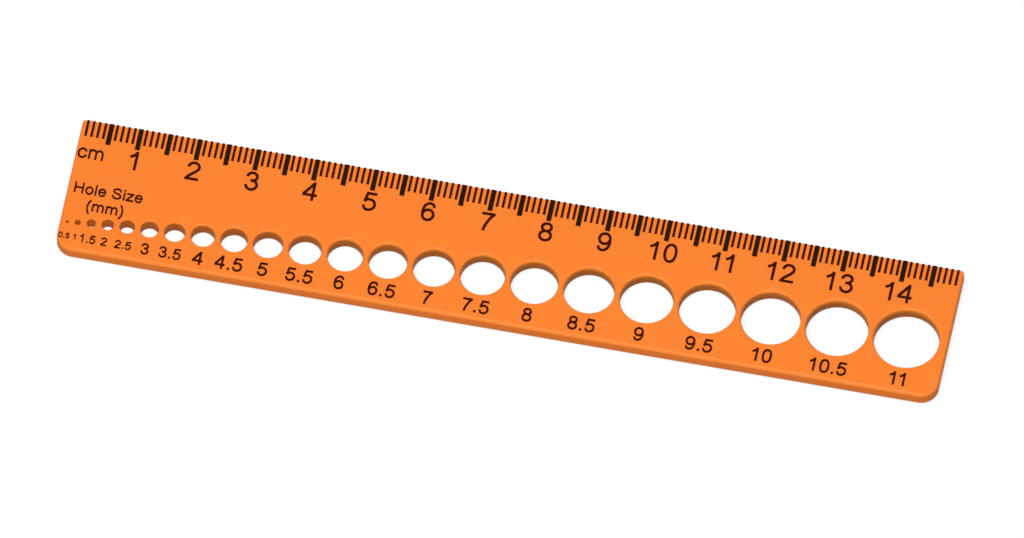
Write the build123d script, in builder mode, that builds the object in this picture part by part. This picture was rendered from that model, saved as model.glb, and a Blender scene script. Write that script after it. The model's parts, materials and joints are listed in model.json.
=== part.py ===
from build123d import *

import os

# Plastic rule with a row of sizing holes. It lies flat, underside on Z = 0, and is centred on X and Y.
# The scale runs along +X from the left end, and its edge is the +Y side. All sizes are in millimetres.

# Plate
LENGTH = 150.0
WIDTH = 25.0
THICKNESS = 2.7
FRONT_CORNER_RADIUS = 3.0
SCALE_CORNER_RADIUS = 0.45
EDGE_ROUND = 0.55

# Graduations, raised on the top face and flush with the scale edge
MARK_PITCH = 1.0
LONG_MARK_EVERY = 5
MARK_HEIGHT = 0.25
SHORT_MARK_LENGTH = 3.0
SHORT_MARK_WIDTH = 0.4
LONG_MARK_LENGTH = 4.0
LONG_MARK_WIDTH = 0.8
MARK_EDGE_BREAK = 0.04

# Sizing holes, smallest at the left, in a row with their front sides in line
SMALLEST_HOLE = 0.5
HOLE_STEP = 0.5
HOLE_WEB = 1.0
HOLE_END_MARGIN = 1.0
HOLE_FRONT_MARGIN = 5.0
RIM_BREAK_AT_ZERO = 0.08
RIM_BREAK_PER_DIAMETER = 0.035
LARGEST_RIM_BREAK = 0.33
LARGEST_RIM_SHARE_OF_WEB = 0.45

LEFT_END = -LENGTH / 2
FRONT_EDGE = -WIDTH / 2
SCALE_EDGE = WIDTH / 2


def sizing_holes():
    """Diameter and centre of each hole, for as many sizes as the length of the plate takes."""
    holes = []
    diameter = SMALLEST_HOLE
    start = HOLE_END_MARGIN
    while start + diameter + HOLE_END_MARGIN <= LENGTH:
        centre = (LEFT_END + start + diameter / 2, FRONT_EDGE + HOLE_FRONT_MARGIN + diameter / 2)
        holes.append((diameter, centre))
        start += diameter + HOLE_WEB
        diameter += HOLE_STEP
    return holes


def rim_break(diameter):
    """Bevel of a hole's two rims, which grows with the hole and leaves some of the web between holes flat."""
    grown = RIM_BREAK_AT_ZERO + RIM_BREAK_PER_DIAMETER * diameter
    return min(grown, LARGEST_RIM_BREAK, LARGEST_RIM_SHARE_OF_WEB * HOLE_WEB)


def graduations(long):
    """Places along the scale of the long marks or of the short ones between them."""
    count = int(LENGTH / MARK_PITCH + 0.001)
    steps = [n for n in range(1, count) if (n % LONG_MARK_EVERY == 0) == long]
    return [(LEFT_END + n * MARK_PITCH, SCALE_EDGE) for n in steps if n * MARK_PITCH < LENGTH]


# Plate: one moulding with rounded ends and front, a sharp scale edge, and the holes right through it
with BuildPart() as ruler_plate:
    with BuildSketch():
        outline = Rectangle(LENGTH, WIDTH)
        fillet(outline.vertices().group_by(Axis.Y)[0], FRONT_CORNER_RADIUS)
    extrude(amount=THICKNESS)

    flats = ruler_plate.faces().filter_by(Plane.XY)
    scale_side = ruler_plate.faces().sort_by(Axis.Y)[-1]
    fillet(flats.edges() - scale_side.edges(), EDGE_ROUND)

    # The scale corners are rounded in plan only, which leaves the scale edge sharp from end to end
    with BuildSketch():
        trimmed_outline = Rectangle(LENGTH, WIDTH)
        fillet(trimmed_outline.vertices().group_by(Axis.Y)[-1], SCALE_CORNER_RADIUS)
    extrude(amount=THICKNESS, mode=Mode.INTERSECT)

    for diameter, (x, y) in sizing_holes():
        with Locations((x, y, THICKNESS)):
            Hole(diameter / 2)
        rims = ruler_plate.edges(Select.LAST).filter_by(GeomType.CIRCLE)
        chamfer(rims, rim_break(diameter))
ruler_plate.part.label = "ruler_plate"


def raised_marks(places, width, length):
    """Raised bars that start at the scale edge and stand on the top face, one at each place."""
    with BuildPart() as marks:
        with BuildSketch(Plane.XY.offset(THICKNESS)):
            with Locations(*places):
                Rectangle(width, length, align=(Align.CENTER, Align.MAX))
        extrude(amount=MARK_HEIGHT)
        chamfer(marks.edges().group_by(Axis.Z)[-1], MARK_EDGE_BREAK)
    return marks


# Graduations: the second, black colour of the moulding, one separate bar for each mark
millimetre_marks = raised_marks(graduations(long=False), SHORT_MARK_WIDTH, SHORT_MARK_LENGTH)
millimetre_marks.part.label = "millimetre_marks"

five_millimetre_marks = raised_marks(graduations(long=True), LONG_MARK_WIDTH, LONG_MARK_LENGTH)
five_millimetre_marks.part.label = "five_millimetre_marks"

os.makedirs("parts", exist_ok=True)
export_step(ruler_plate.part, "parts/ruler_plate.step")
export_step(millimetre_marks.part, "parts/millimetre_marks.step")
export_step(five_millimetre_marks.part, "parts/five_millimetre_marks.step")
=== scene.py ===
"""Looks of a plastic ruler with a row of sizing holes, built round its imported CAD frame."""

import json
import math

import bmesh
import bpy
from bpy.props import FloatProperty, FloatVectorProperty, IntProperty, PointerProperty
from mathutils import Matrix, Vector
from mathutils.geometry import delaunay_2d_cdt

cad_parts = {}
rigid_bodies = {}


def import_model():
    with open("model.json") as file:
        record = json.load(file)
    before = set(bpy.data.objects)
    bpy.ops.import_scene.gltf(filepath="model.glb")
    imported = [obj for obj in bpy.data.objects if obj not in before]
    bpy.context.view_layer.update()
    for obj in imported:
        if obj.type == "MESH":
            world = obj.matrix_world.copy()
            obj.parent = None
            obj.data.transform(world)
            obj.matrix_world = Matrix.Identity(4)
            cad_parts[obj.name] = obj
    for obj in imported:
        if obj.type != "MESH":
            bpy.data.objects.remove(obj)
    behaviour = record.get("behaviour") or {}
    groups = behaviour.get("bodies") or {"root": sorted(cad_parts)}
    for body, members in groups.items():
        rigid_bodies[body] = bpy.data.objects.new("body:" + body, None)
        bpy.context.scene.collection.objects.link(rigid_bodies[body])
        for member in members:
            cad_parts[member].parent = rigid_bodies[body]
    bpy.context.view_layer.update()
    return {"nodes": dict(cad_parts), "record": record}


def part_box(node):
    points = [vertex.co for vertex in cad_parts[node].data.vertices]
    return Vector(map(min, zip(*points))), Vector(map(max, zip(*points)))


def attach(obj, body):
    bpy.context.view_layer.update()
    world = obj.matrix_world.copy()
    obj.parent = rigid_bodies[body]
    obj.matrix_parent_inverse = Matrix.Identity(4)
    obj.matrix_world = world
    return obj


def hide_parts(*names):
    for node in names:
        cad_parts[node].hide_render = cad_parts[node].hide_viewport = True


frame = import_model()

bl_info = {
    "name": "Hole Gauge Ruler",
    "version": (1, 0, 0),
    "blender": (4, 5, 0),
    "location": "View3D > Sidebar > Ruler",
    "description": "Plastic ruler with raised black marks and numbers and a row of sizing holes",
    "category": "Add Mesh",
}

MM = 0.001
PLATE_LOW, PLATE_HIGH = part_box("ruler_plate")
MARK_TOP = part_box("millimetre_marks")[1].z
SIZING_HOLES = [mount for mount in frame["record"]["mounts"] if mount["kind"] == "bore"]
BODY = "root"
NUMBER_PITCH = 10.0 * MM

# From this number on, numbers have two digits
TWO_DIGITS = 10

# Numbers under holes narrower than the first figure are as tall as the second, both in millimetres
SMALL_HOLE_NUMBERS = ((1.25, 1.0), (2.75, 1.5), (3.75, 2.03))

# Points nearer than this are one point. Edges that turn by more than the crease angle stay sharp,
# and faces whose normal is more upright than the last figure are shaded flat.
WELD_DISTANCE = 0.001 * MM
CREASE_ANGLE = math.radians(35.0)
FLAT_FACING = 0.9999

# Inputs of the plate's node tree that have a setting of the same name
PLATE_SIZES = (
    "Front Corner", "Scale Corner", "Edge Round", "Smallest Rim", "Rim Growth", "Largest Rim")
PLATE_COUNTS = ("Round Steps", "Hole Steps", "Corner Steps")

# Masks of all the sides of the plate, which make them rougher, and of the hole linings alone, which
# carry
# painted shade: a browner colour down the holes. The higher their falloff, the further they stay
# off the rounded rims.
SIDE_MASK = "side"
LINING_SHADE_MASK = "lining"
MASK_FALLOFF = 5.0

BROAD_PLASTIC = "Black Plastic"
THIN_PLASTIC = "Black Plastic In Thin Strokes"

# Scale, detail and roughness of two noises, a grain some 0.15 mm wide and a haze of some 20 mm, and
# the strength of the bump that the grain makes
GRAIN = (6500.0, 2.0, 0.5)
HAZE = (55.0, 3.0, 0.55)
GRAIN_STRENGTH = 0.25

# Name, place and size in metres of each soft lamp, and the setting that holds its power. They all
# point at the middle of the ruler.
LAMPS = (
    ("overhead", (-0.04, -0.30, 1.47), (0.90, 0.75), "overhead_power"),
    ("front_low", (0.0, -0.55, 0.04), (0.8, 0.07), "front_power"),
    ("back_low", (0.0, 0.55, 0.016), (0.8, 0.03), "back_power"),
    ("left_low", (-0.55, 0.0, 0.03), (0.3, 0.05), "end_power"),
    ("right_low", (0.55, 0.0, 0.03), (0.3, 0.05), "end_power"),
)

# The nearest and the furthest that the camera draws, in metres
CAMERA_REACH = (0.01, 10.0)


# Sizes and colours

class PlateSettings(bpy.types.PropertyGroup):
    """The orange plate with its holes."""

    front_corner: FloatProperty(
        name="Front corner radius", description="Radius in plan of the two corners by the holes",
        default=3.0 * MM, min=0.0, unit="LENGTH")
    scale_corner: FloatProperty(
        name="Scale corner radius", description="Radius in plan of the two corners by the scale",
        default=0.45 * MM, min=0.0, unit="LENGTH")
    edge_round: FloatProperty(
        name="Edge round",
        description="Round along the front edge and the two ends, over and under",
        default=0.55 * MM, min=0.0, unit="LENGTH")
    smallest_rim: FloatProperty(
        name="Smallest rim round",
        description="Round that the rim of a hole of no width would have",
        default=0.12 * MM, min=0.0, unit="LENGTH")
    rim_growth: FloatProperty(
        name="Rim growth", description="Share of its diameter that a hole adds to its rim round",
        default=0.05, min=0.0, subtype="FACTOR")
    largest_rim: FloatProperty(
        name="Largest rim round",
        description="Round that no rim grows past, so that the webs keep a flat",
        default=0.47 * MM, min=0.0, unit="LENGTH")
    round_steps: IntProperty(
        name="Round steps", description="Steps over each quarter round", default=8, min=2)
    hole_steps: IntProperty(
        name="Hole steps", description="Steps round each hole", default=64, min=12)
    corner_steps: IntProperty(
        name="Corner steps", description="Steps round each corner in plan", default=14, min=2)
    colour: FloatVectorProperty(
        name="Plate colour", description="Colour of the orange plastic",
        default=(0.90, 0.216, 0.027), min=0.0, max=1.0, subtype="COLOR")
    roughness: FloatProperty(
        name="Face roughness", description="Roughness of the two flat faces and the rounded edges",
        default=0.38, min=0.0, max=1.0, subtype="FACTOR")
    side_roughness: FloatProperty(
        name="Side roughness", description="Roughness of the duller sides and hole linings",
        default=0.52, min=0.0, max=1.0, subtype="FACTOR")
    # Painted shade: the linings of the holes take this browner colour in place of the shade that
    # falls down inside them
    lining_colour: FloatVectorProperty(
        name="Lining colour",
        description="Browner colour of the plastic down the linings of the holes",
        default=(0.88, 0.268, 0.027), min=0.0, max=1.0, subtype="COLOR")


class LetteringSettings(bpy.types.PropertyGroup):
    """The raised black numbers and words."""

    pen_width: FloatProperty(
        name="Upright stroke",
        description="Width of upright strokes, as a share of the letter height",
        default=0.125, min=0.01, subtype="FACTOR")
    pen_height: FloatProperty(
        name="Level stroke", description="Width of level strokes, as a share of the letter height",
        default=0.118, min=0.01, subtype="FACTOR")
    small_boldness: FloatProperty(
        name="Small boldness",
        description="How much bolder the hole sizes and the legend are drawn",
        default=1.07, min=0.1, subtype="FACTOR")
    face_bevel: FloatProperty(
        name="Face bevel",
        description="Width of the bevel round the face, as a share of the letter height",
        default=0.011, min=0.0, subtype="FACTOR")
    bevel_depth: FloatProperty(
        name="Bevel depth", description="How far down the bevel round the face goes",
        default=0.04 * MM, min=0.0, unit="LENGTH")
    root_depth: FloatProperty(
        name="Root depth", description="Depth to which the letters go into the plate",
        default=0.05 * MM, min=0.0, unit="LENGTH")
    scale_height: FloatProperty(
        name="Scale number height", description="Height of the numbers of the scale",
        default=3.51 * MM, min=0.0, unit="LENGTH")
    scale_drop: FloatProperty(
        name="Scale number drop", description="From the scale edge to the foot of its numbers",
        default=7.93 * MM, min=0.0, unit="LENGTH")
    unit_height: FloatProperty(
        name="Unit height", description="Capital height of the unit sign at the start of the scale",
        default=2.55 * MM, min=0.0, unit="LENGTH")
    unit_indent: FloatProperty(
        name="Unit indent", description="From the left end to the unit sign",
        default=0.22 * MM, min=0.0, unit="LENGTH")
    unit_drop: FloatProperty(
        name="Unit drop", description="From the scale edge to the foot of the unit sign",
        default=7.25 * MM, min=0.0, unit="LENGTH")
    legend_height: FloatProperty(
        name="Legend height", description="Capital height of the words over the smallest holes",
        default=2.0 * MM, min=0.0, unit="LENGTH")
    legend_indent: FloatProperty(
        name="Legend indent", description="From the left end to the first line of the legend",
        default=0.95 * MM, min=0.0, unit="LENGTH")
    legend_drop: FloatProperty(
        name="Legend drop",
        description="From the scale edge to the foot of the first line of the legend",
        default=14.0 * MM, min=0.0, unit="LENGTH")
    second_line_indent: FloatProperty(
        name="Second line indent", description="From the left end to the second line of the legend",
        default=3.69 * MM, min=0.0, unit="LENGTH")
    line_step: FloatProperty(
        name="Line step", description="From one line of the legend to the next",
        default=3.1 * MM, min=0.0, unit="LENGTH")
    hole_number_height: FloatProperty(
        name="Hole number height",
        description="Height of the numbers under all but the small holes",
        default=2.5 * MM, min=0.0, unit="LENGTH")
    hole_number_middle: FloatProperty(
        name="Hole number place",
        description="From the front edge to the middle of the hole numbers",
        default=2.53 * MM, min=0.0, unit="LENGTH")
    two_digit_shift: FloatProperty(
        name="Two-digit shift", description="How far numbers of two digits stand off their middle",
        default=-0.07 * MM, unit="LENGTH")
    broad_colour: FloatVectorProperty(
        name="Broad mark colour", description="Colour of the black plastic of the broad marks",
        default=(0.021, 0.0078, 0.0025), min=0.0, max=1.0, subtype="COLOR")
    thin_colour: FloatVectorProperty(
        name="Thin stroke colour", description="Browner colour of the thin marks and letters",
        default=(0.044, 0.006, 0.0003), min=0.0, max=1.0, subtype="COLOR")


class StageSettings(bpy.types.PropertyGroup):
    """Floor, lamps and camera."""

    floor_size: FloatProperty(
        name="Floor size", description="Side of the square floor",
        default=3.0, min=0.5, unit="LENGTH")
    floor_glow: FloatProperty(
        name="Floor glow", description="Share of its white that the floor shows without any light",
        default=0.74, min=0.0, max=1.0, subtype="FACTOR")
    floor_tone: FloatProperty(
        name="Floor tone",
        description="Share of its white that the floor takes from the lamps, with shadows",
        default=0.26, min=0.0, max=1.0, subtype="FACTOR")
    floor_bounce: FloatProperty(
        name="Floor bounce",
        description="Share of the light that the floor throws back at the ruler",
        default=0.06, min=0.0, max=1.0, subtype="FACTOR")
    world_strength: FloatProperty(
        name="World strength", description="Brightness of the even light from all round",
        default=0.10, min=0.0)
    overhead_power: FloatProperty(
        name="Overhead lamp", description="Power of the soft lamp overhead",
        default=23.4, min=0.0, unit="POWER")
    front_power: FloatProperty(
        name="Front lamp", description="Power of the low soft lamp in front",
        default=1.36, min=0.0, unit="POWER")
    back_power: FloatProperty(
        name="Back lamp", description="Power of the low soft lamp behind",
        default=1.8, min=0.0, unit="POWER")
    end_power: FloatProperty(
        name="End lamps", description="Power of each low soft lamp at the ends",
        default=0.17, min=0.0, unit="POWER")
    camera_turn: FloatProperty(
        name="Camera turn",
        description="Turn of the camera round the ruler, from straight in front",
        default=math.radians(11.25), subtype="ANGLE")
    camera_rise: FloatProperty(
        name="Camera rise", description="Angle of the camera over the horizon",
        default=math.radians(60.0), subtype="ANGLE")
    camera_distance: FloatProperty(
        name="Camera distance", description="From the camera to the point that it looks at",
        default=0.6, min=0.1, unit="LENGTH")
    aim_along: FloatProperty(
        name="Aim along",
        description="From the middle of the ruler to where the camera looks, along it",
        default=0.86 * MM, unit="LENGTH")
    aim_across: FloatProperty(
        name="Aim across",
        description="From the middle of the ruler to where the camera looks, across it",
        default=-1.91 * MM, unit="LENGTH")
    view_width: FloatProperty(
        name="View width", description="Width that the picture takes in",
        default=0.17087, min=0.01, unit="LENGTH")


# Node trees

def feed(tree, node, fed):
    """Links inputs of a node to other sockets, or gives them plain values."""
    for name, value in fed.items():
        if isinstance(value, Number):
            value = value.socket
        if isinstance(value, bpy.types.NodeSocket):
            tree.links.new(value, node.inputs[name])
        else:
            node.inputs[name].default_value = value


def add_node(tree, kind, fed=None, **settings):
    """A new node to the right of the others, with its settings made and its inputs fed."""
    node = tree.nodes.new(kind)
    node.location = (180.0 * len(tree.nodes), 0.0)
    for name, value in settings.items():
        setattr(node, name, value)
    feed(tree, node, fed or {})
    return node


def made(tree, kind, output, fed=None, **settings):
    """One output of a new node."""
    return add_node(tree, kind, fed, **settings).outputs[output]


def changed(tree, kind, geometry, fed=None, **settings):
    """The geometry as a new node leaves it."""
    return made(tree, kind, "Geometry", {"Geometry": geometry, **(fed or {})}, **settings)


def together(tree, *geometries):
    """Several geometries as one."""
    join = add_node(tree, "GeometryNodeJoinGeometry")
    for geometry in geometries:
        tree.links.new(geometry, join.inputs["Geometry"])
    return join.outputs["Geometry"]


def enabled(sockets):
    """The sockets that a node of several kinds shows for the kind it is set to."""
    return [socket for socket in sockets if socket.enabled]


class Number:
    """A number in a node tree. Arithmetic on it adds the Math nodes that work it out."""

    def __init__(self, tree, socket):
        self.tree = tree
        self.socket = socket

    def work(self, operation, *others):
        fed = dict(enumerate((self, *others)))
        result = made(self.tree, "ShaderNodeMath", "Value", fed, operation=operation)
        return Number(self.tree, result)

    def __add__(self, other):
        return self.work("ADD", other)

    def __sub__(self, other):
        return self.work("SUBTRACT", other)

    def __mul__(self, other):
        return self.work("MULTIPLY", other)

    def __truediv__(self, other):
        return self.work("DIVIDE", other)

    def __abs__(self):
        return self.work("ABSOLUTE")


def split(tree, vector):
    """The three parts of a vector as numbers."""
    node = add_node(tree, "ShaderNodeSeparateXYZ", {"Vector": vector})
    return [Number(tree, output) for output in node.outputs]


def joined(tree, x, y, z):
    """A vector made of three numbers."""
    return made(tree, "ShaderNodeCombineXYZ", "Vector", {"X": x, "Y": y, "Z": z})


def compared(tree, operation, a, b):
    """True where the comparison of two numbers holds."""
    return made(tree, "FunctionNodeCompare", "Result", {"A": a, "B": b}, operation=operation)


def chosen(tree, condition, one, other):
    """One number where the condition holds, and the other elsewhere."""
    return Number(tree, made(tree, "GeometryNodeSwitch", "Output", {
        "Switch": condition, "True": one, "False": other}, input_type="FLOAT"))


def captured(tree, geometry, name, kind, value):
    """The geometry with a value kept on its points, and that value."""
    keep = add_node(tree, "GeometryNodeCaptureAttribute")
    keep.capture_items.new(kind, name)
    feed(tree, keep, {"Geometry": geometry, name: value})
    return keep.outputs["Geometry"], keep.outputs[name]


def add_sockets(tree, in_out, kinds):
    """Gives a node group inputs or outputs of these names and kinds."""
    for name, kind in kinds.items():
        tree.interface.new_socket(name, in_out=in_out, socket_type="NodeSocket" + kind)


def new_geometry_tree(name, inputs):
    """An empty tree of geometry nodes with these inputs, and their sockets by name."""
    tree = bpy.data.node_groups.new(name, "GeometryNodeTree")
    add_sockets(tree, "OUTPUT", {"Geometry": "Geometry"})
    add_sockets(tree, "INPUT", inputs)
    given = add_node(tree, "NodeGroupInput")
    return tree, {name: given.outputs[name] for name in inputs}


def finish_tree(tree, geometry, material):
    """Welds the geometry, shades rounds smooth and flats flat, and ends the tree."""
    welded = changed(tree, "GeometryNodeMergeByDistance", geometry, {"Distance": WELD_DISTANCE})
    _, _, upright = split(tree, made(tree, "GeometryNodeInputNormal", "Normal"))
    rounds = changed(tree, "GeometryNodeSetShadeSmooth", welded, {
        "Shade Smooth": compared(tree, "LESS_THAN", abs(upright), FLAT_FACING)})
    turn = made(tree, "GeometryNodeInputMeshEdgeAngle", "Unsigned Angle")
    creases = changed(tree, "GeometryNodeSetShadeSmooth", rounds, {
        "Selection": compared(tree, "GREATER_THAN", turn, CREASE_ANGLE),
        "Shade Smooth": False}, domain="EDGE")
    real = changed(tree, "GeometryNodeRealizeInstances", creases)
    dressed = changed(tree, "GeometryNodeSetMaterial", real, {"Material": material})
    add_node(tree, "NodeGroupOutput", {"Geometry": dressed})


def add_object(name, data):
    """A new object at the origin of the scene."""
    thing = bpy.data.objects.new(name, data)
    bpy.context.scene.collection.objects.link(thing)
    return thing


def made_by_nodes(name, start, tree, values):
    """Runs a tree on a starting mesh, and keeps the result as a plain piece."""
    source = add_object(name + "_start", start)
    modifier = source.modifiers.new(tree.name, "NODES")
    modifier.node_group = tree
    for item in tree.interface.items_tree:
        if item.item_type == "SOCKET" and item.in_out == "INPUT" and item.name in values:
            modifier[item.identifier] = values[item.name]
    shaped = source.evaluated_get(bpy.context.evaluated_depsgraph_get())
    mesh = bpy.data.meshes.new_from_object(shaped)
    source.modifiers.remove(modifier)
    bpy.data.objects.remove(source)
    if not mesh.polygons:
        raise RuntimeError(f"the nodes made nothing for {name}")
    mesh.name = name
    mesh.materials.clear()
    mesh.materials.append(values["Material"])
    for attribute in ("diameter", "letter", "size"):
        if attribute in mesh.attributes:
            mesh.attributes.remove(mesh.attributes[attribute])
    return add_object(name, mesh)


def wall_grid(tree, around, steps):
    """A grid for a wall, with its points' way round and their rise, both from -0.5 to 0.5."""
    grid = made(tree, "GeometryNodeMeshGrid", "Mesh", {
        "Size X": 1.0, "Size Y": 1.0, "Vertices X": around + 1.0, "Vertices Y": steps * 2.0 + 2.0})
    position = made(tree, "GeometryNodeInputPosition", "Position")
    grid, place = captured(tree, grid, "Place", "VECTOR", position)
    way_round, rise, _ = split(tree, place)
    return grid, way_round, rise


def rounded_wall(tree, rise, thickness, radius, steps):
    """How far a wall with rounded rims draws back at each rise, and its height there."""
    # Half of the grid's rows belong to each rim, and turn through a quarter round
    turned = (abs(rise) * (steps * 2.0 + 1.0) - 0.5) / steps * math.radians(90.0)
    drawn_back = radius - radius * turned.work("COSINE")
    lift = thickness / 2.0 - radius + radius * turned.work("SINE")
    return drawn_back, thickness / 2.0 + rise.work("SIGN") * lift


def masked(tree, geometry, radius, drawn_back, *names):
    """The geometry with masks stored on it, full on a wall and fading out over its rounded rims."""
    mask = ((radius - drawn_back) / radius).work("POWER", MASK_FALLOFF)
    for name in names:
        geometry = changed(tree, "GeometryNodeStoreNamedAttribute", geometry, {
            "Name": name, "Value": mask})
    return geometry


def hole_linings(tree, centres, numbers):
    """The lining of each hole, with both rims rounded."""
    position = made(tree, "GeometryNodeInputPosition", "Position")
    diameter = made(tree, "GeometryNodeInputNamedAttribute", "Attribute", {"Name": "diameter"})
    centres, centre = captured(tree, centres, "Centre", "VECTOR", position)
    centres, across = captured(tree, centres, "Diameter", "FLOAT", diameter)
    grid, way_round, rise = wall_grid(tree, numbers["Hole Steps"], numbers["Round Steps"])
    copies = made(tree, "GeometryNodeInstanceOnPoints", "Instances", {
        "Points": centres, "Instance": grid})
    real = changed(tree, "GeometryNodeRealizeInstances", copies)

    across = Number(tree, across)
    rim = across * numbers["Rim Growth"] + numbers["Smallest Rim"]
    rim = rim.work("MINIMUM", numbers["Largest Rim"])
    drawn_back, height = rounded_wall(tree, rise, numbers["Thickness"], rim, numbers["Round Steps"])
    radius = across / 2.0 + drawn_back
    turned = way_round * math.radians(-360.0)
    x, y, _ = split(tree, centre)
    placed = changed(tree, "GeometryNodeSetPosition", real, {"Position": joined(
        tree, x + radius * turned.work("COSINE"), y + radius * turned.work("SINE"), height)})
    # The lining mask marks where the painted shade of the hole linings goes
    return masked(tree, placed, rim, drawn_back, SIDE_MASK, LINING_SHADE_MASK)


def plate_outline(tree, numbers):
    """The plan outline of the plate, with its four corners rounded."""
    rectangle = made(tree, "GeometryNodeCurvePrimitiveQuadrilateral", "Curve", {
        "Width": numbers["Length"], "Height": numbers["Width"]})
    _, y, _ = split(tree, made(tree, "GeometryNodeInputPosition", "Position"))
    in_front = compared(tree, "LESS_THAN", y, 0.0)
    corner = chosen(tree, in_front, numbers["Front Corner"], numbers["Scale Corner"])
    return made(tree, "GeometryNodeFilletCurve", "Curve", {
        "Curve": rectangle, "Count": numbers["Corner Steps"], "Radius": corner}, mode="POLY")


def outer_wall(tree, numbers):
    """The wall round the plate, with its rims rounded but for those along the scale."""
    outline = plate_outline(tree, numbers)
    stations = Number(tree, made(tree, "GeometryNodeAttributeDomainSize", "Point Count", {
        "Geometry": outline}, component="CURVE"))
    grid, way_round, rise = wall_grid(tree, stations, numbers["Round Steps"])
    station = ((way_round + 0.5) * stations).work("ROUND").work("MODULO", stations)
    position = made(tree, "GeometryNodeInputPosition", "Position")
    x, y, _ = split(tree, made(tree, "GeometryNodeSampleIndex", "Value", {
        "Geometry": outline, "Index": station, "Value": position}, data_type="FLOAT_VECTOR"))
    rim = numbers["Edge Round"]
    drawn_back, height = rounded_wall(tree, rise, numbers["Thickness"], rim, numbers["Round Steps"])

    # The front corners draw back towards their centres, and the ends and the front straight in
    half_length = numbers["Length"] / 2.0
    corner = numbers["Front Corner"]
    core_x = half_length - corner
    core_y = corner - numbers["Width"] / 2.0
    drawn = (corner - drawn_back) / corner
    by_corner = core_x + (abs(x) - core_x) * drawn
    by_end = abs(x).work("MINIMUM", half_length - drawn_back)
    in_corner = compared(tree, "GREATER_THAN", (abs(x) - core_x).work("MINIMUM", core_y - y), 0.0)
    new_x = x.work("SIGN") * chosen(tree, in_corner, by_corner, by_end)
    straight_y = y.work("MAXIMUM", core_y)
    new_y = straight_y + (y - straight_y) * drawn
    placed = changed(tree, "GeometryNodeSetPosition", grid, {
        "Position": joined(tree, new_x, new_y, height)})
    return masked(tree, placed, rim, drawn_back, SIDE_MASK)


def build_plate_tree():
    """A flat plate with rounded edges and a round lining at each hole centre."""
    kinds = {name: "Float" for name in ("Length", "Width", "Thickness", *PLATE_SIZES)}
    kinds.update({name: "Int" for name in PLATE_COUNTS})
    tree, given = new_geometry_tree("Plate With Sizing Holes", {
        "Hole Centres": "Geometry", "Material": "Material", **kinds})
    numbers = {name: Number(tree, given[name]) for name in kinds}
    linings = hole_linings(tree, given["Hole Centres"], numbers)
    walls = together(tree, linings, outer_wall(tree, numbers))
    welded = changed(tree, "GeometryNodeMergeByDistance", walls, {"Distance": WELD_DISTANCE})

    # The two flats fill the loops of open edges, which have fewer than two faces
    faces = made(tree, "GeometryNodeInputMeshEdgeNeighbors", "Face Count")
    _, _, height = split(tree, made(tree, "GeometryNodeInputPosition", "Position"))
    open_rim = made(tree, "FunctionNodeBooleanMath", "Boolean", {
        0: compared(tree, "LESS_THAN", faces, 2.0),
        1: compared(tree, "GREATER_THAN", height, numbers["Thickness"] / 2.0)}, operation="AND")
    loops = made(tree, "GeometryNodeMeshToCurve", "Curve", {"Mesh": welded, "Selection": open_rim})
    flat = made(tree, "GeometryNodeFillCurve", "Mesh", {"Curve": loops})
    top = changed(tree, "GeometryNodeTransform", flat, {
        "Translation": joined(tree, 0.0, 0.0, numbers["Thickness"])})
    underside = made(tree, "GeometryNodeFlipFaces", "Mesh", {"Mesh": flat})
    finish_tree(tree, together(tree, welded, top, underside), given["Material"])
    return tree


# Letter shapes, each drawn as strokes through the middle of its lines, one capital height tall

# Points of a letter nearer than this are one point, and edges in line to within this angle are one.
# At a sharp corner, a mitre reaches out no further than half the pen's width over the last figure.
LETTER_TOLERANCE = 1e-5
STRAIGHT_ANGLE = math.radians(1.0)
SHARPEST_MITRE = 0.5


def arc(x, y, across, up, start, end, steps=20):
    """Points along part of an ellipse, from one angle to another in degrees."""
    angles = [math.radians(start + (end - start) * n / steps) for n in range(steps + 1)]
    return [(x + across * math.cos(a), y + up * math.sin(a)) for a in angles]


def ring(x, y, across, up, squareness=2.0, steps=40):
    """Points round a closed oval, squarer than an ellipse where the squareness is over 2."""
    points = []
    for n in range(steps):
        a = 2.0 * math.pi * n / steps
        c, s = math.cos(a), math.sin(a)
        points.append((x + across * math.copysign(abs(c) ** (2.0 / squareness), c),
                       y + up * math.copysign(abs(s) ** (2.0 / squareness), s)))
    return points + points[:1]


def curve(*knots, steps=8):
    """Points along a smooth curve through the knots."""
    ends = [tuple(2 * a - b for a, b in zip(knots[0], knots[1])),
            tuple(2 * a - b for a, b in zip(knots[-1], knots[-2]))]
    run = [ends[0], *knots, ends[1]]
    points = []
    for k in range(1, len(run) - 2):
        for n in range(steps):
            t = n / steps
            points.append(tuple(
                0.5 * (2 * b + (c - a) * t + (2 * a - 5 * b + 4 * c - d) * t ** 2
                       + (3 * b - a - 3 * c + d) * t ** 3)
                for a, b, c, d in zip(run[k - 1], run[k], run[k + 1], run[k + 2])))
    return points + [knots[-1]]


def turned_over(strokes, x, y):
    """The strokes turned half a turn about a point."""
    return [[(2 * x - px, 2 * y - py) for px, py in stroke] for stroke in strokes]


SIX = [ring(0.389, 0.314, 0.261, 0.281),
       curve((0.634, 0.75), (0.565, 0.897), (0.408, 0.954), (0.237, 0.875), (0.14, 0.70),
             (0.113, 0.478), (0.14, 0.28))]
BRACKET = arc(1.226, 0.3615, 1.086, 1.086, 142.9, 217.1, steps=14)

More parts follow.
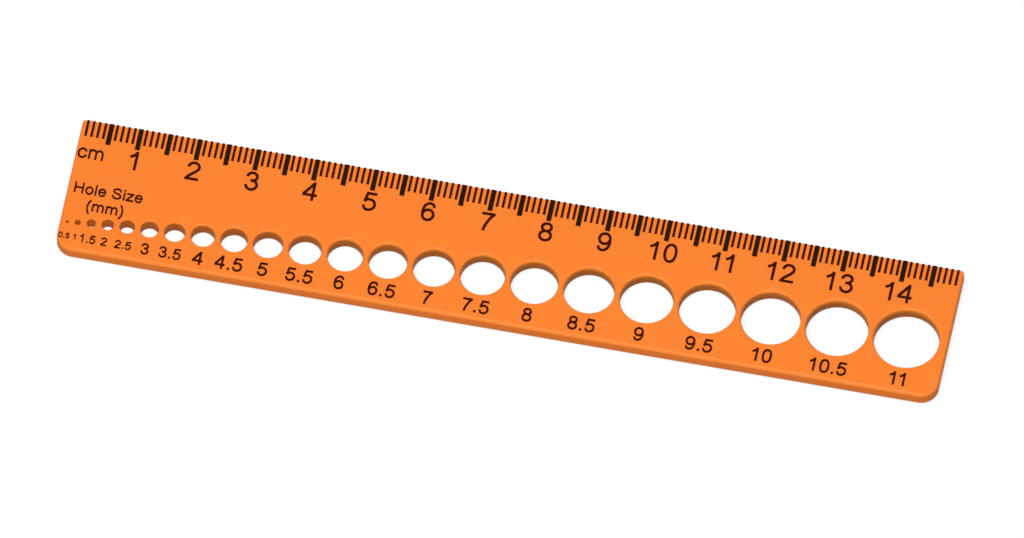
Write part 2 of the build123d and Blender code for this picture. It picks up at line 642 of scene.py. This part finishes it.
# Advance width and strokes of each letter
LETTERS = {
    "0": (0.777, [ring(0.384, 0.493, 0.263, 0.460, squareness=2.3)]),
    "1": (0.777, [[(0.459, 0.0), (0.459, 1.0)],
                  curve((0.152, 0.694), (0.281, 0.759), (0.398, 0.858), (0.459, 0.965))]),
    "2": (0.777, [arc(0.384, 0.712, 0.255, 0.2415, 180, -20)
                  + curve((0.577, 0.5636), (0.468, 0.4436), (0.352, 0.34), (0.2226, 0.226),
                          (0.125, 0.09)),
                  [(0.042, 0.059), (0.703, 0.059)]]),
    "3": (0.777, [arc(0.3665, 0.7435, 0.2345, 0.2105, 182, -90) + [(0.31, 0.533)],
                  arc(0.384, 0.283, 0.264, 0.25, 95, -178)]),
    "4": (0.777, [[(0.513, 0.0), (0.513, 1.0)], [(0.018, 0.2957), (0.709, 0.2957)],
                  [(0.064, 0.318), (0.513, 0.956)]]),
    "5": (0.777, [[(0.674, 0.928), (0.236, 0.928), (0.148, 0.48)],
                  curve((0.148, 0.48), (0.25, 0.575), (0.39, 0.609), (0.581, 0.533), (0.656, 0.333),
                        (0.585, 0.1275), (0.379, 0.033), (0.2046, 0.0955), (0.1224, 0.267))]),
    "6": (0.777, SIX),
    "7": (0.777, [[(0.066, 0.928), (0.7135, 0.928)],
                  curve((0.655, 0.905), (0.54, 0.776), (0.452, 0.614), (0.316, 0.28),
                        (0.269, 0.0))]),
    "8": (0.777, [ring(0.3855, 0.746, 0.226, 0.207), ring(0.386, 0.286, 0.2665, 0.253)]),
    "9": (0.777, turned_over(SIX, 0.3745, 0.4935)),
    ".": (0.388, [[(0.189, 0.0), (0.189, 0.14)], [(0.2045, 0.0), (0.2045, 0.14)]]),
    " ": (0.388, []),
    "(": (0.465, [BRACKET]),
    ")": (0.465, [[(0.465 - x, y) for x, y in BRACKET]]),
    "H": (1.009, [[(0.178, 0.0), (0.178, 1.0)], [(0.83, 0.0), (0.83, 1.0)],
                  [(0.178, 0.53), (0.83, 0.53)]]),
    "S": (0.932, [curve((0.765, 0.7135), (0.74, 0.825), (0.6405, 0.9168), (0.455, 0.9587),
                        (0.2756, 0.9195), (0.164, 0.7456), (0.254, 0.592), (0.45, 0.525),
                        (0.65, 0.469), (0.794, 0.276), (0.685, 0.095), (0.485, 0.042),
                        (0.275, 0.088), (0.155, 0.2), (0.125, 0.327))]),
    "c": (0.698, [arc(0.386, 0.362, 0.268, 0.328, 28, 340, steps=34)]),
    "e": (0.777, [arc(0.384, 0.362, 0.27, 0.328, -5, 335, steps=36),
                  [(0.125, 0.381), (0.65, 0.381)]]),
    "i": (0.310, [[(0.154, 0.0), (0.154, 0.724)], [(0.154, 0.859), (0.154, 1.0)]]),
    "l": (0.310, [[(0.151, 0.0), (0.151, 1.0)]]),
    "m": (1.164, [[(0.1535, 0.0), (0.1535, 0.724)], [(0.584, 0.0), (0.584, 0.47)],
                  [(1.0126, 0.0), (1.0126, 0.47)], arc(0.3688, 0.45, 0.2152, 0.2376, 180, 0),
                  arc(0.7983, 0.45, 0.2143, 0.2376, 180, 0)]),
    "o": (0.777, [ring(0.386, 0.362, 0.276, 0.328)]),
    "z": (0.698, [[(0.055, 0.6746), (0.6467, 0.6746)], [(0.027, 0.053), (0.6685, 0.053)],
                  [(0.5675, 0.645), (0.11, 0.09)]]),
}
# Change of the advance between two letters
KERNED = {"11": -0.104}
LETTER_ORDER = sorted(LETTERS)


def stroke_quads(points, pen):
    """One four-sided face for each run of a stroke, with mitred joints between them."""
    closed = points[0] == points[-1]
    corners = [Vector(p) for p in (points[:-1] if closed else points)]
    count = len(corners)
    runs = count if closed else count - 1
    normals = []
    for k in range(runs):
        along = (corners[(k + 1) % count] - corners[k]).normalized()
        normals.append(Vector((-along.y, along.x)))
    sides = []
    for k in range(count):
        before = normals[k - 1] if closed or k > 0 else normals[0]
        after = normals[k] if k < runs else normals[-1]
        middle = (before + after).normalized()
        middle /= max(middle.dot(before), SHARPEST_MITRE)
        half = Vector((middle.x * pen[0] / 2.0, middle.y * pen[1] / 2.0))
        sides.append((corners[k] + half, corners[k] - half))
    quads = []
    for k in range(runs):
        (left, right), (next_left, next_right) = sides[k], sides[(k + 1) % count]
        quads.append([right, next_right, next_left, left])
    return quads


def in_order(shape):
    """Points and faces of a shape, sorted, because their own order changes from run to run."""
    verts = sorted(shape.verts, key=lambda vert: vert.co[:])
    number = {vert: n for n, vert in enumerate(verts)}
    faces = []
    for face in shape.faces:
        loop = [number[vert] for vert in face.verts]
        first = loop.index(min(loop))
        faces.append(loop[first:] + loop[:first])
    return [vert.co[:] for vert in verts], [], sorted(faces)


def letter_mesh(name, strokes, pen, bevel):
    """A solid letter, one capital height tall and one unit thick, with a bevel round its face."""
    corners, faces = [], []
    for stroke in strokes:
        for quad in stroke_quads(stroke, pen):
            faces.append([len(corners) + n for n in range(4)])
            corners.extend(quad)
    mesh = bpy.data.meshes.new(name)
    if not faces:
        return mesh
    points, _, triangles, _, _, from_faces = delaunay_2d_cdt(
        corners, [], faces, 0, LETTER_TOLERANCE)
    drawn = [triangle for triangle, origin in zip(triangles, from_faces) if origin]
    mesh.from_pydata([(*point, 0.0) for point in points], [], drawn)
    shape = bmesh.new()
    shape.from_mesh(mesh)
    bmesh.ops.delete(shape, geom=[v for v in shape.verts if not v.link_faces], context="VERTS")
    bmesh.ops.dissolve_limit(
        shape, angle_limit=STRAIGHT_ANGLE, verts=shape.verts, edges=shape.edges)
    raised = bmesh.ops.extrude_face_region(shape, geom=shape.faces[:], use_keep_orig=True)["geom"]
    for vert in (part for part in raised if isinstance(part, bmesh.types.BMVert)):
        vert.co.z = 1.0 - bevel[1]
    top = [part for part in raised if isinstance(part, bmesh.types.BMFace)]
    bmesh.ops.recalc_face_normals(shape, faces=shape.faces)
    bmesh.ops.inset_region(
        shape, faces=top, thickness=bevel[0], use_even_offset=True, use_boundary=True)
    for vert in {vert for face in top for vert in face.verts}:
        vert.co.z = 1.0
    mesh.clear_geometry()
    mesh.from_pydata(*in_order(shape))
    shape.free()
    return mesh


def letter_collection(name, pen, bevel):
    """A collection of solid letters outside the scene, in the order of LETTER_ORDER."""
    collection = bpy.data.collections.new(name)
    for number, letter in enumerate(LETTER_ORDER):
        label = f"{name}_{number:02d}"
        mesh = letter_mesh(label, LETTERS[letter][1], pen, bevel)
        collection.objects.link(bpy.data.objects.new(label, mesh))
    return collection


def put_away(collection):
    """Removes a collection of letters that are all written."""
    for letter in list(collection.objects):
        bpy.data.objects.remove(letter)
    bpy.data.collections.remove(collection)


def written(text, height, x, y, pen, place="START"):
    """(letter, x, y, height) of each letter of a line that starts at x, or has its middle there."""
    placed, start = [], 0.0
    for k, letter in enumerate(text):
        start += KERNED.get(text[k - 1:k + 1], 0.0)
        placed.append((letter, start))
        start += LETTERS[letter][0]
    if place == "START":
        shift = 0.0
    elif place == "ADVANCE_MIDDLE":
        shift = -start / 2.0
    else:
        inked = [begin + corner.x for letter, begin in placed for stroke in LETTERS[letter][1]
                 for quad in stroke_quads(stroke, pen) for corner in quad]
        shift = -(min(inked) + max(inked)) / 2.0
    return [(letter, x + (begin + shift) * height, y, height)
            for letter, begin in placed if letter != " "]


def letter_points(letters, height):
    """A mesh of loose points, one for each letter, with the letter and its size on it."""
    mesh = bpy.data.meshes.new("letter_points")
    mesh.from_pydata([(x, y, height) for _, x, y, _ in letters], [], [])
    which = mesh.attributes.new("letter", "INT", "POINT")
    which.data.foreach_set("value", [LETTER_ORDER.index(letter) for letter, *_ in letters])
    size = mesh.attributes.new("size", "FLOAT", "POINT")
    size.data.foreach_set("value", [size for *_, size in letters])
    return mesh


def build_lettering_tree():
    """Raised lettering: a solid letter at each point, drawn to its own size and to one height."""
    tree, given = new_geometry_tree("Raised Lettering", {
        "Letter Places": "Geometry", "Letters": "Collection", "Height": "Float",
        "Material": "Material"})
    letters = made(tree, "GeometryNodeCollectionInfo", "Instances", {
        "Collection": given["Letters"], "Separate Children": True, "Reset Children": True})
    which = made(tree, "GeometryNodeInputNamedAttribute", "Attribute", {"Name": "letter"},
                 data_type="INT")
    size = made(tree, "GeometryNodeInputNamedAttribute", "Attribute", {"Name": "size"})
    copies = made(tree, "GeometryNodeInstanceOnPoints", "Instances", {
        "Points": given["Letter Places"], "Instance": letters, "Pick Instance": True,
        "Instance Index": which, "Scale": joined(tree, size, size, given["Height"])})
    solids = changed(tree, "GeometryNodeRealizeInstances", copies)
    finish_tree(tree, solids, given["Material"])
    return tree


# Materials

def grey(level):
    """A neutral colour of this brightness."""
    return (level, level, level, 1.0)


def build_moulded_surface():
    """The faint grain and haze that a mould leaves on plastic, the same for both colours."""
    group = bpy.data.node_groups.new("Moulded Surface", "ShaderNodeTree")
    add_sockets(group, "INPUT", {
        "Roughness": "Float", "Haze": "Float", "Colour": "Color", "Fading": "Float"})
    add_sockets(group, "OUTPUT", {"Roughness": "Float", "Height": "Float", "Colour": "Color"})
    given = add_node(group, "NodeGroupInput").outputs
    place = made(group, "ShaderNodeTexCoord", "Object")
    grain, haze = [
        made(group, "ShaderNodeTexNoise", "Fac", {
            "Vector": place, "Scale": scale, "Detail": detail, "Roughness": roughness})
        for scale, detail, roughness in (GRAIN, HAZE)]
    swing = Number(group, haze) - 0.5
    colour = made(group, "ShaderNodeVectorMath", "Vector", {
        0: given["Colour"], "Scale": swing * given["Fading"] + 1.0}, operation="SCALE")
    add_node(group, "NodeGroupOutput", {
        "Roughness": swing * given["Haze"] + given["Roughness"], "Height": grain, "Colour": colour})
    return group


def build_plastic(name, colour, roughness, haze, fading, grain_depth, gloss):
    """A moulded plastic of one colour, and the node that gives it its surface."""
    material = bpy.data.materials.new(name)
    material.use_nodes = True
    tree = material.node_tree
    group = bpy.data.node_groups.get("Moulded Surface") or build_moulded_surface()
    surface = add_node(tree, "ShaderNodeGroup", {
        "Roughness": roughness, "Haze": haze, "Fading": fading, "Colour": (*colour, 1.0)},
        node_tree=group)
    bump = made(tree, "ShaderNodeBump", "Normal", {
        "Height": surface.outputs["Height"], "Strength": GRAIN_STRENGTH, "Distance": grain_depth})
    feed(tree, tree.nodes["Principled BSDF"], {
        "Base Color": surface.outputs["Colour"], "Roughness": surface.outputs["Roughness"],
        "Normal": bump, "Specular IOR Level": gloss})
    return material, surface


def build_orange_plastic(settings):
    """The plastic of the plate, duller on its sides, with painted shade down the linings of the
    holes, which take a browner colour.
    """
    material, surface = build_plastic(
        "Orange Plastic", settings.colour, settings.roughness,
        haze=0.08, fading=0.02, grain_depth=0.004 * MM, gloss=0.13)
    tree = material.node_tree
    side, lining = [made(tree, "ShaderNodeAttribute", "Fac", attribute_name=mask)
                    for mask in (SIDE_MASK, LINING_SHADE_MASK)]
    # Painted shade: the lining mask mixes the browner lining colour in down the holes
    colour = add_node(tree, "ShaderNodeMix", {"Factor": lining}, data_type="RGBA")
    for socket, value in zip(enabled(colour.inputs)[1:], (settings.colour, settings.lining_colour)):
        socket.default_value = (*value, 1.0)
    added_roughness = settings.side_roughness - settings.roughness
    feed(tree, surface, {
        "Roughness": Number(tree, side) * added_roughness + settings.roughness,
        "Colour": enabled(colour.outputs)[0]})
    return material


def build_black_plastics(settings):
    """The plastic of the broad marks, and a browner one for thin strokes."""
    for name, colour, gloss in ((BROAD_PLASTIC, settings.broad_colour, 0.02),
                                (THIN_PLASTIC, settings.thin_colour, 0.01)):
        build_plastic(name, colour, roughness=0.5, haze=0.1, fading=0.1,
                      grain_depth=0.006 * MM, gloss=gloss)


def black_plastic(context, name):
    """One of the two black plastics, which whoever comes first makes."""
    if name not in bpy.data.materials:
        build_black_plastics(context.scene.ruler_lettering)
    return bpy.data.materials[name]


# Operators

class RULER_OT_plate(bpy.types.Operator):
    """Make the orange plate with its rounded edges and its row of sizing holes"""

    bl_idname = "ruler.plate"
    bl_label = "Plate"

    def execute(self, context):
        settings = context.scene.ruler_plate
        centres = bpy.data.meshes.new("hole_centres")
        centres.from_pydata([(*hole["pos_m"][:2], 0.0) for hole in SIZING_HOLES], [], [])
        diameter = centres.attributes.new("diameter", "FLOAT", "POINT")
        diameter.data.foreach_set(
            "value", [2.0 * MM * hole["dims"]["r_mm"] for hole in SIZING_HOLES])
        size = PLATE_HIGH - PLATE_LOW
        values = {name: getattr(settings, name.lower().replace(" ", "_"))
                  for name in PLATE_SIZES + PLATE_COUNTS}
        plate = made_by_nodes("plate", centres, build_plate_tree(), {
            "Length": size.x, "Width": size.y, "Thickness": size.z, **values,
            "Material": build_orange_plastic(settings)})
        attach(plate, BODY)
        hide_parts("ruler_plate")
        return {"FINISHED"}


class RULER_OT_graduations(bpy.types.Operator):
    """Give the raised marks of the scale their black plastic"""

    bl_idname = "ruler.graduations"
    bl_label = "Graduations"

    def execute(self, context):
        for name, plastic in (("millimetre_marks", THIN_PLASTIC),
                              ("five_millimetre_marks", BROAD_PLASTIC)):
            for slot in frame["nodes"][name].material_slots:
                slot.material = black_plastic(context, plastic)
        return {"FINISHED"}


class RULER_OT_lettering(bpy.types.Operator):
    """Make the raised numbers of the scale and of the holes, the unit sign and the legend"""

    bl_idname = "ruler.lettering"
    bl_label = "Lettering"

    def execute(self, context):
        settings = context.scene.ruler_lettering
        root = PLATE_HIGH.z - settings.root_depth
        bevel = (settings.face_bevel, settings.bevel_depth / (MARK_TOP - root))
        pen = Vector((settings.pen_width, settings.pen_height))
        letters = letter_collection("letters", pen, bevel)
        bold_letters = letter_collection("bold_letters", pen * settings.small_boldness, bevel)
        tree = build_lettering_tree()
        for name, lines in self.lines(settings, pen).items():
            drawn = bold_letters if name in ("hole_legend", "hole_sizes") else letters
            piece = made_by_nodes(name, letter_points(lines, root), tree, {
                "Letters": drawn, "Height": MARK_TOP - root,
                "Material": black_plastic(context, THIN_PLASTIC)})
            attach(piece, BODY)
        put_away(letters)
        put_away(bold_letters)
        return {"FINISHED"}

    def lines(self, settings, pen):
        """The letters of each piece of lettering, with their places and heights."""
        left, edge = PLATE_LOW.x, PLATE_HIGH.y
        unit = written("cm", settings.unit_height, left + settings.unit_indent,
                       edge - settings.unit_drop, pen)
        first_line = written("Hole Size", settings.legend_height, left + settings.legend_indent,
                             edge - settings.legend_drop, pen)
        second_line = written("(mm)", settings.legend_height, left + settings.second_line_indent,
                              edge - settings.legend_drop - settings.line_step, pen)
        return {"scale_numbers": self.scale_numbers(settings, pen), "unit_sign": unit,
                "hole_legend": first_line + second_line,
                "hole_sizes": self.hole_sizes(settings, pen)}

    def scale_numbers(self, settings, pen):
        """A number under each centimetre mark."""
        letters = []
        for number in range(1, round((PLATE_HIGH.x - PLATE_LOW.x) / NUMBER_PITCH)):
            middle = PLATE_LOW.x + number * NUMBER_PITCH
            place = "ADVANCE_MIDDLE"
            if number >= TWO_DIGITS:
                middle += settings.two_digit_shift
                place = "INK_MIDDLE"
            letters += written(str(number), settings.scale_height, middle,
                               PLATE_HIGH.y - settings.scale_drop, pen, place)
        return letters

    def hole_sizes(self, settings, pen):
        """The diameter under each hole, smaller under small holes so that they fit side by side."""
        letters = []
        for hole in SIZING_HOLES:
            diameter = 2.0 * hole["dims"]["r_mm"]
            small = [height * MM for limit, height in SMALL_HOLE_NUMBERS if diameter < limit]
            height = small[0] if small else settings.hole_number_height
            shift = settings.two_digit_shift if diameter >= TWO_DIGITS else 0.0
            middle = hole["pos_m"][0] + shift
            foot = PLATE_LOW.y + settings.hole_number_middle - height / 2.0
            letters += written(f"{diameter:g}", height, middle, foot, pen, "INK_MIDDLE")
        return letters


class RULER_OT_stage(bpy.types.Operator):
    """Make the floor, the soft lamps and the camera"""

    bl_idname = "ruler.stage"
    bl_label = "Stage"

    def execute(self, context):
        settings = context.scene.ruler_stage
        self.make_floor(settings)
        self.make_world(settings)
        for name, place, size, power in LAMPS:
            self.make_lamp(name, place, size, getattr(settings, power))
        self.make_camera(settings)
        context.scene.view_settings.view_transform = "Standard"
        return {"FINISHED"}

    def seen_or_not(self, tree, seen, unseen):
        """Joins a shader for what camera, gloss and glass see with one for the light it gives."""
        path = add_node(tree, "ShaderNodeLightPath").outputs
        direct = Number(tree, path["Is Camera Ray"]).work("MAXIMUM", path["Is Glossy Ray"])
        direct = direct.work("MAXIMUM", path["Is Transmission Ray"])
        return made(tree, "ShaderNodeMixShader", "Shader", {"Fac": direct, 1: unseen, 2: seen})

    def make_floor(self, settings):
        """A floor that looks white and keeps the shadow of the ruler."""
        half = settings.floor_size / 2.0
        mesh = bpy.data.meshes.new("floor")
        mesh.from_pydata([(-half, -half, 0.0), (half, -half, 0.0), (half, half, 0.0),
                          (-half, half, 0.0)], [], [(0, 1, 2, 3)])
        paint = bpy.data.materials.new("White Floor")
        paint.use_nodes = True
        tree = paint.node_tree
        tree.nodes.clear()
        glow = made(tree, "ShaderNodeEmission", "Emission", {
            "Color": grey(1.0), "Strength": settings.floor_glow})
        shaded, unseen = [made(tree, "ShaderNodeBsdfDiffuse", "BSDF", {"Color": grey(tone)})
                          for tone in (settings.floor_tone, settings.floor_bounce)]
        seen = made(tree, "ShaderNodeAddShader", "Shader", {0: glow, 1: shaded})
        add_node(tree, "ShaderNodeOutputMaterial", {
            "Surface": self.seen_or_not(tree, seen, unseen)})
        mesh.materials.append(paint)
        add_object("floor", mesh)

    def make_world(self, settings):
        """White all round wherever it is seen, and weak even light on the ruler."""
        world = bpy.data.worlds.new("Studio")
        bpy.context.scene.world = world
        world.use_nodes = True
        tree = world.node_tree
        tree.nodes.clear()
        white, soft = [
            made(tree, "ShaderNodeBackground", "Background", {
                "Color": grey(1.0), "Strength": strength})
            for strength in (1.0, settings.world_strength)]
        add_node(tree, "ShaderNodeOutputWorld", {"Surface": self.seen_or_not(tree, white, soft)})

    def make_lamp(self, name, place, size, power):
        """A soft rectangular lamp that points at the middle of the ruler."""
        light = bpy.data.lights.new(name, "AREA")
        light.shape = "RECTANGLE"
        light.size, light.size_y = size
        light.energy = power
        lamp = add_object(name, light)
        lamp.location = place
        lamp.rotation_euler = (-Vector(place)).to_track_quat("-Z", "Y").to_euler()
        lamp.visible_camera = False

    def make_camera(self, settings):
        """A camera without perspective, turned to the ruler's right end and looking down on it."""
        turn, rise = settings.camera_turn, settings.camera_rise
        level = math.cos(rise)
        back = Vector((math.sin(turn) * level, -math.cos(turn) * level, math.sin(rise)))
        aim = Vector((settings.aim_along, settings.aim_across, MARK_TOP))
        data = bpy.data.cameras.new("camera")
        data.type = "ORTHO"
        data.ortho_scale = settings.view_width
        data.clip_start, data.clip_end = CAMERA_REACH
        camera = add_object("camera", data)
        camera.location = aim + back * settings.camera_distance
        camera.rotation_euler = (-back).to_track_quat("-Z", "Y").to_euler()
        bpy.context.scene.camera = camera


class RULER_PT_panel(bpy.types.Panel):
    """Lists the steps and sizes of the ruler"""

    bl_idname = "RULER_PT_panel"
    bl_label = "Hole Gauge Ruler"
    bl_space_type = "VIEW_3D"
    bl_region_type = "UI"
    bl_category = "Ruler"

    def draw(self, context):
        scene = context.scene
        for operators, settings in (
                (("ruler.plate",), scene.ruler_plate),
                (("ruler.graduations", "ruler.lettering"), scene.ruler_lettering),
                (("ruler.stage",), scene.ruler_stage)):
            box = self.layout.box()
            for operator in operators:
                box.operator(operator)
            for name in settings.__annotations__:
                box.prop(settings, name)


CLASSES = (
    PlateSettings,
    LetteringSettings,
    StageSettings,
    RULER_OT_plate,
    RULER_OT_graduations,
    RULER_OT_lettering,
    RULER_OT_stage,
    RULER_PT_panel,
)


def register():
    for cls in CLASSES:
        bpy.utils.register_class(cls)
    bpy.types.Scene.ruler_plate = PointerProperty(type=PlateSettings)
    bpy.types.Scene.ruler_lettering = PointerProperty(type=LetteringSettings)
    bpy.types.Scene.ruler_stage = PointerProperty(type=StageSettings)


def unregister():
    for name in ("ruler_plate", "ruler_lettering", "ruler_stage"):
        delattr(bpy.types.Scene, name)
    for cls in reversed(CLASSES):
        bpy.utils.unregister_class(cls)


def main():
    register()
    bpy.ops.ruler.plate()
    bpy.ops.ruler.graduations()
    bpy.ops.ruler.lettering()
    bpy.ops.ruler.stage()


if __name__ == "__main__":
    main()
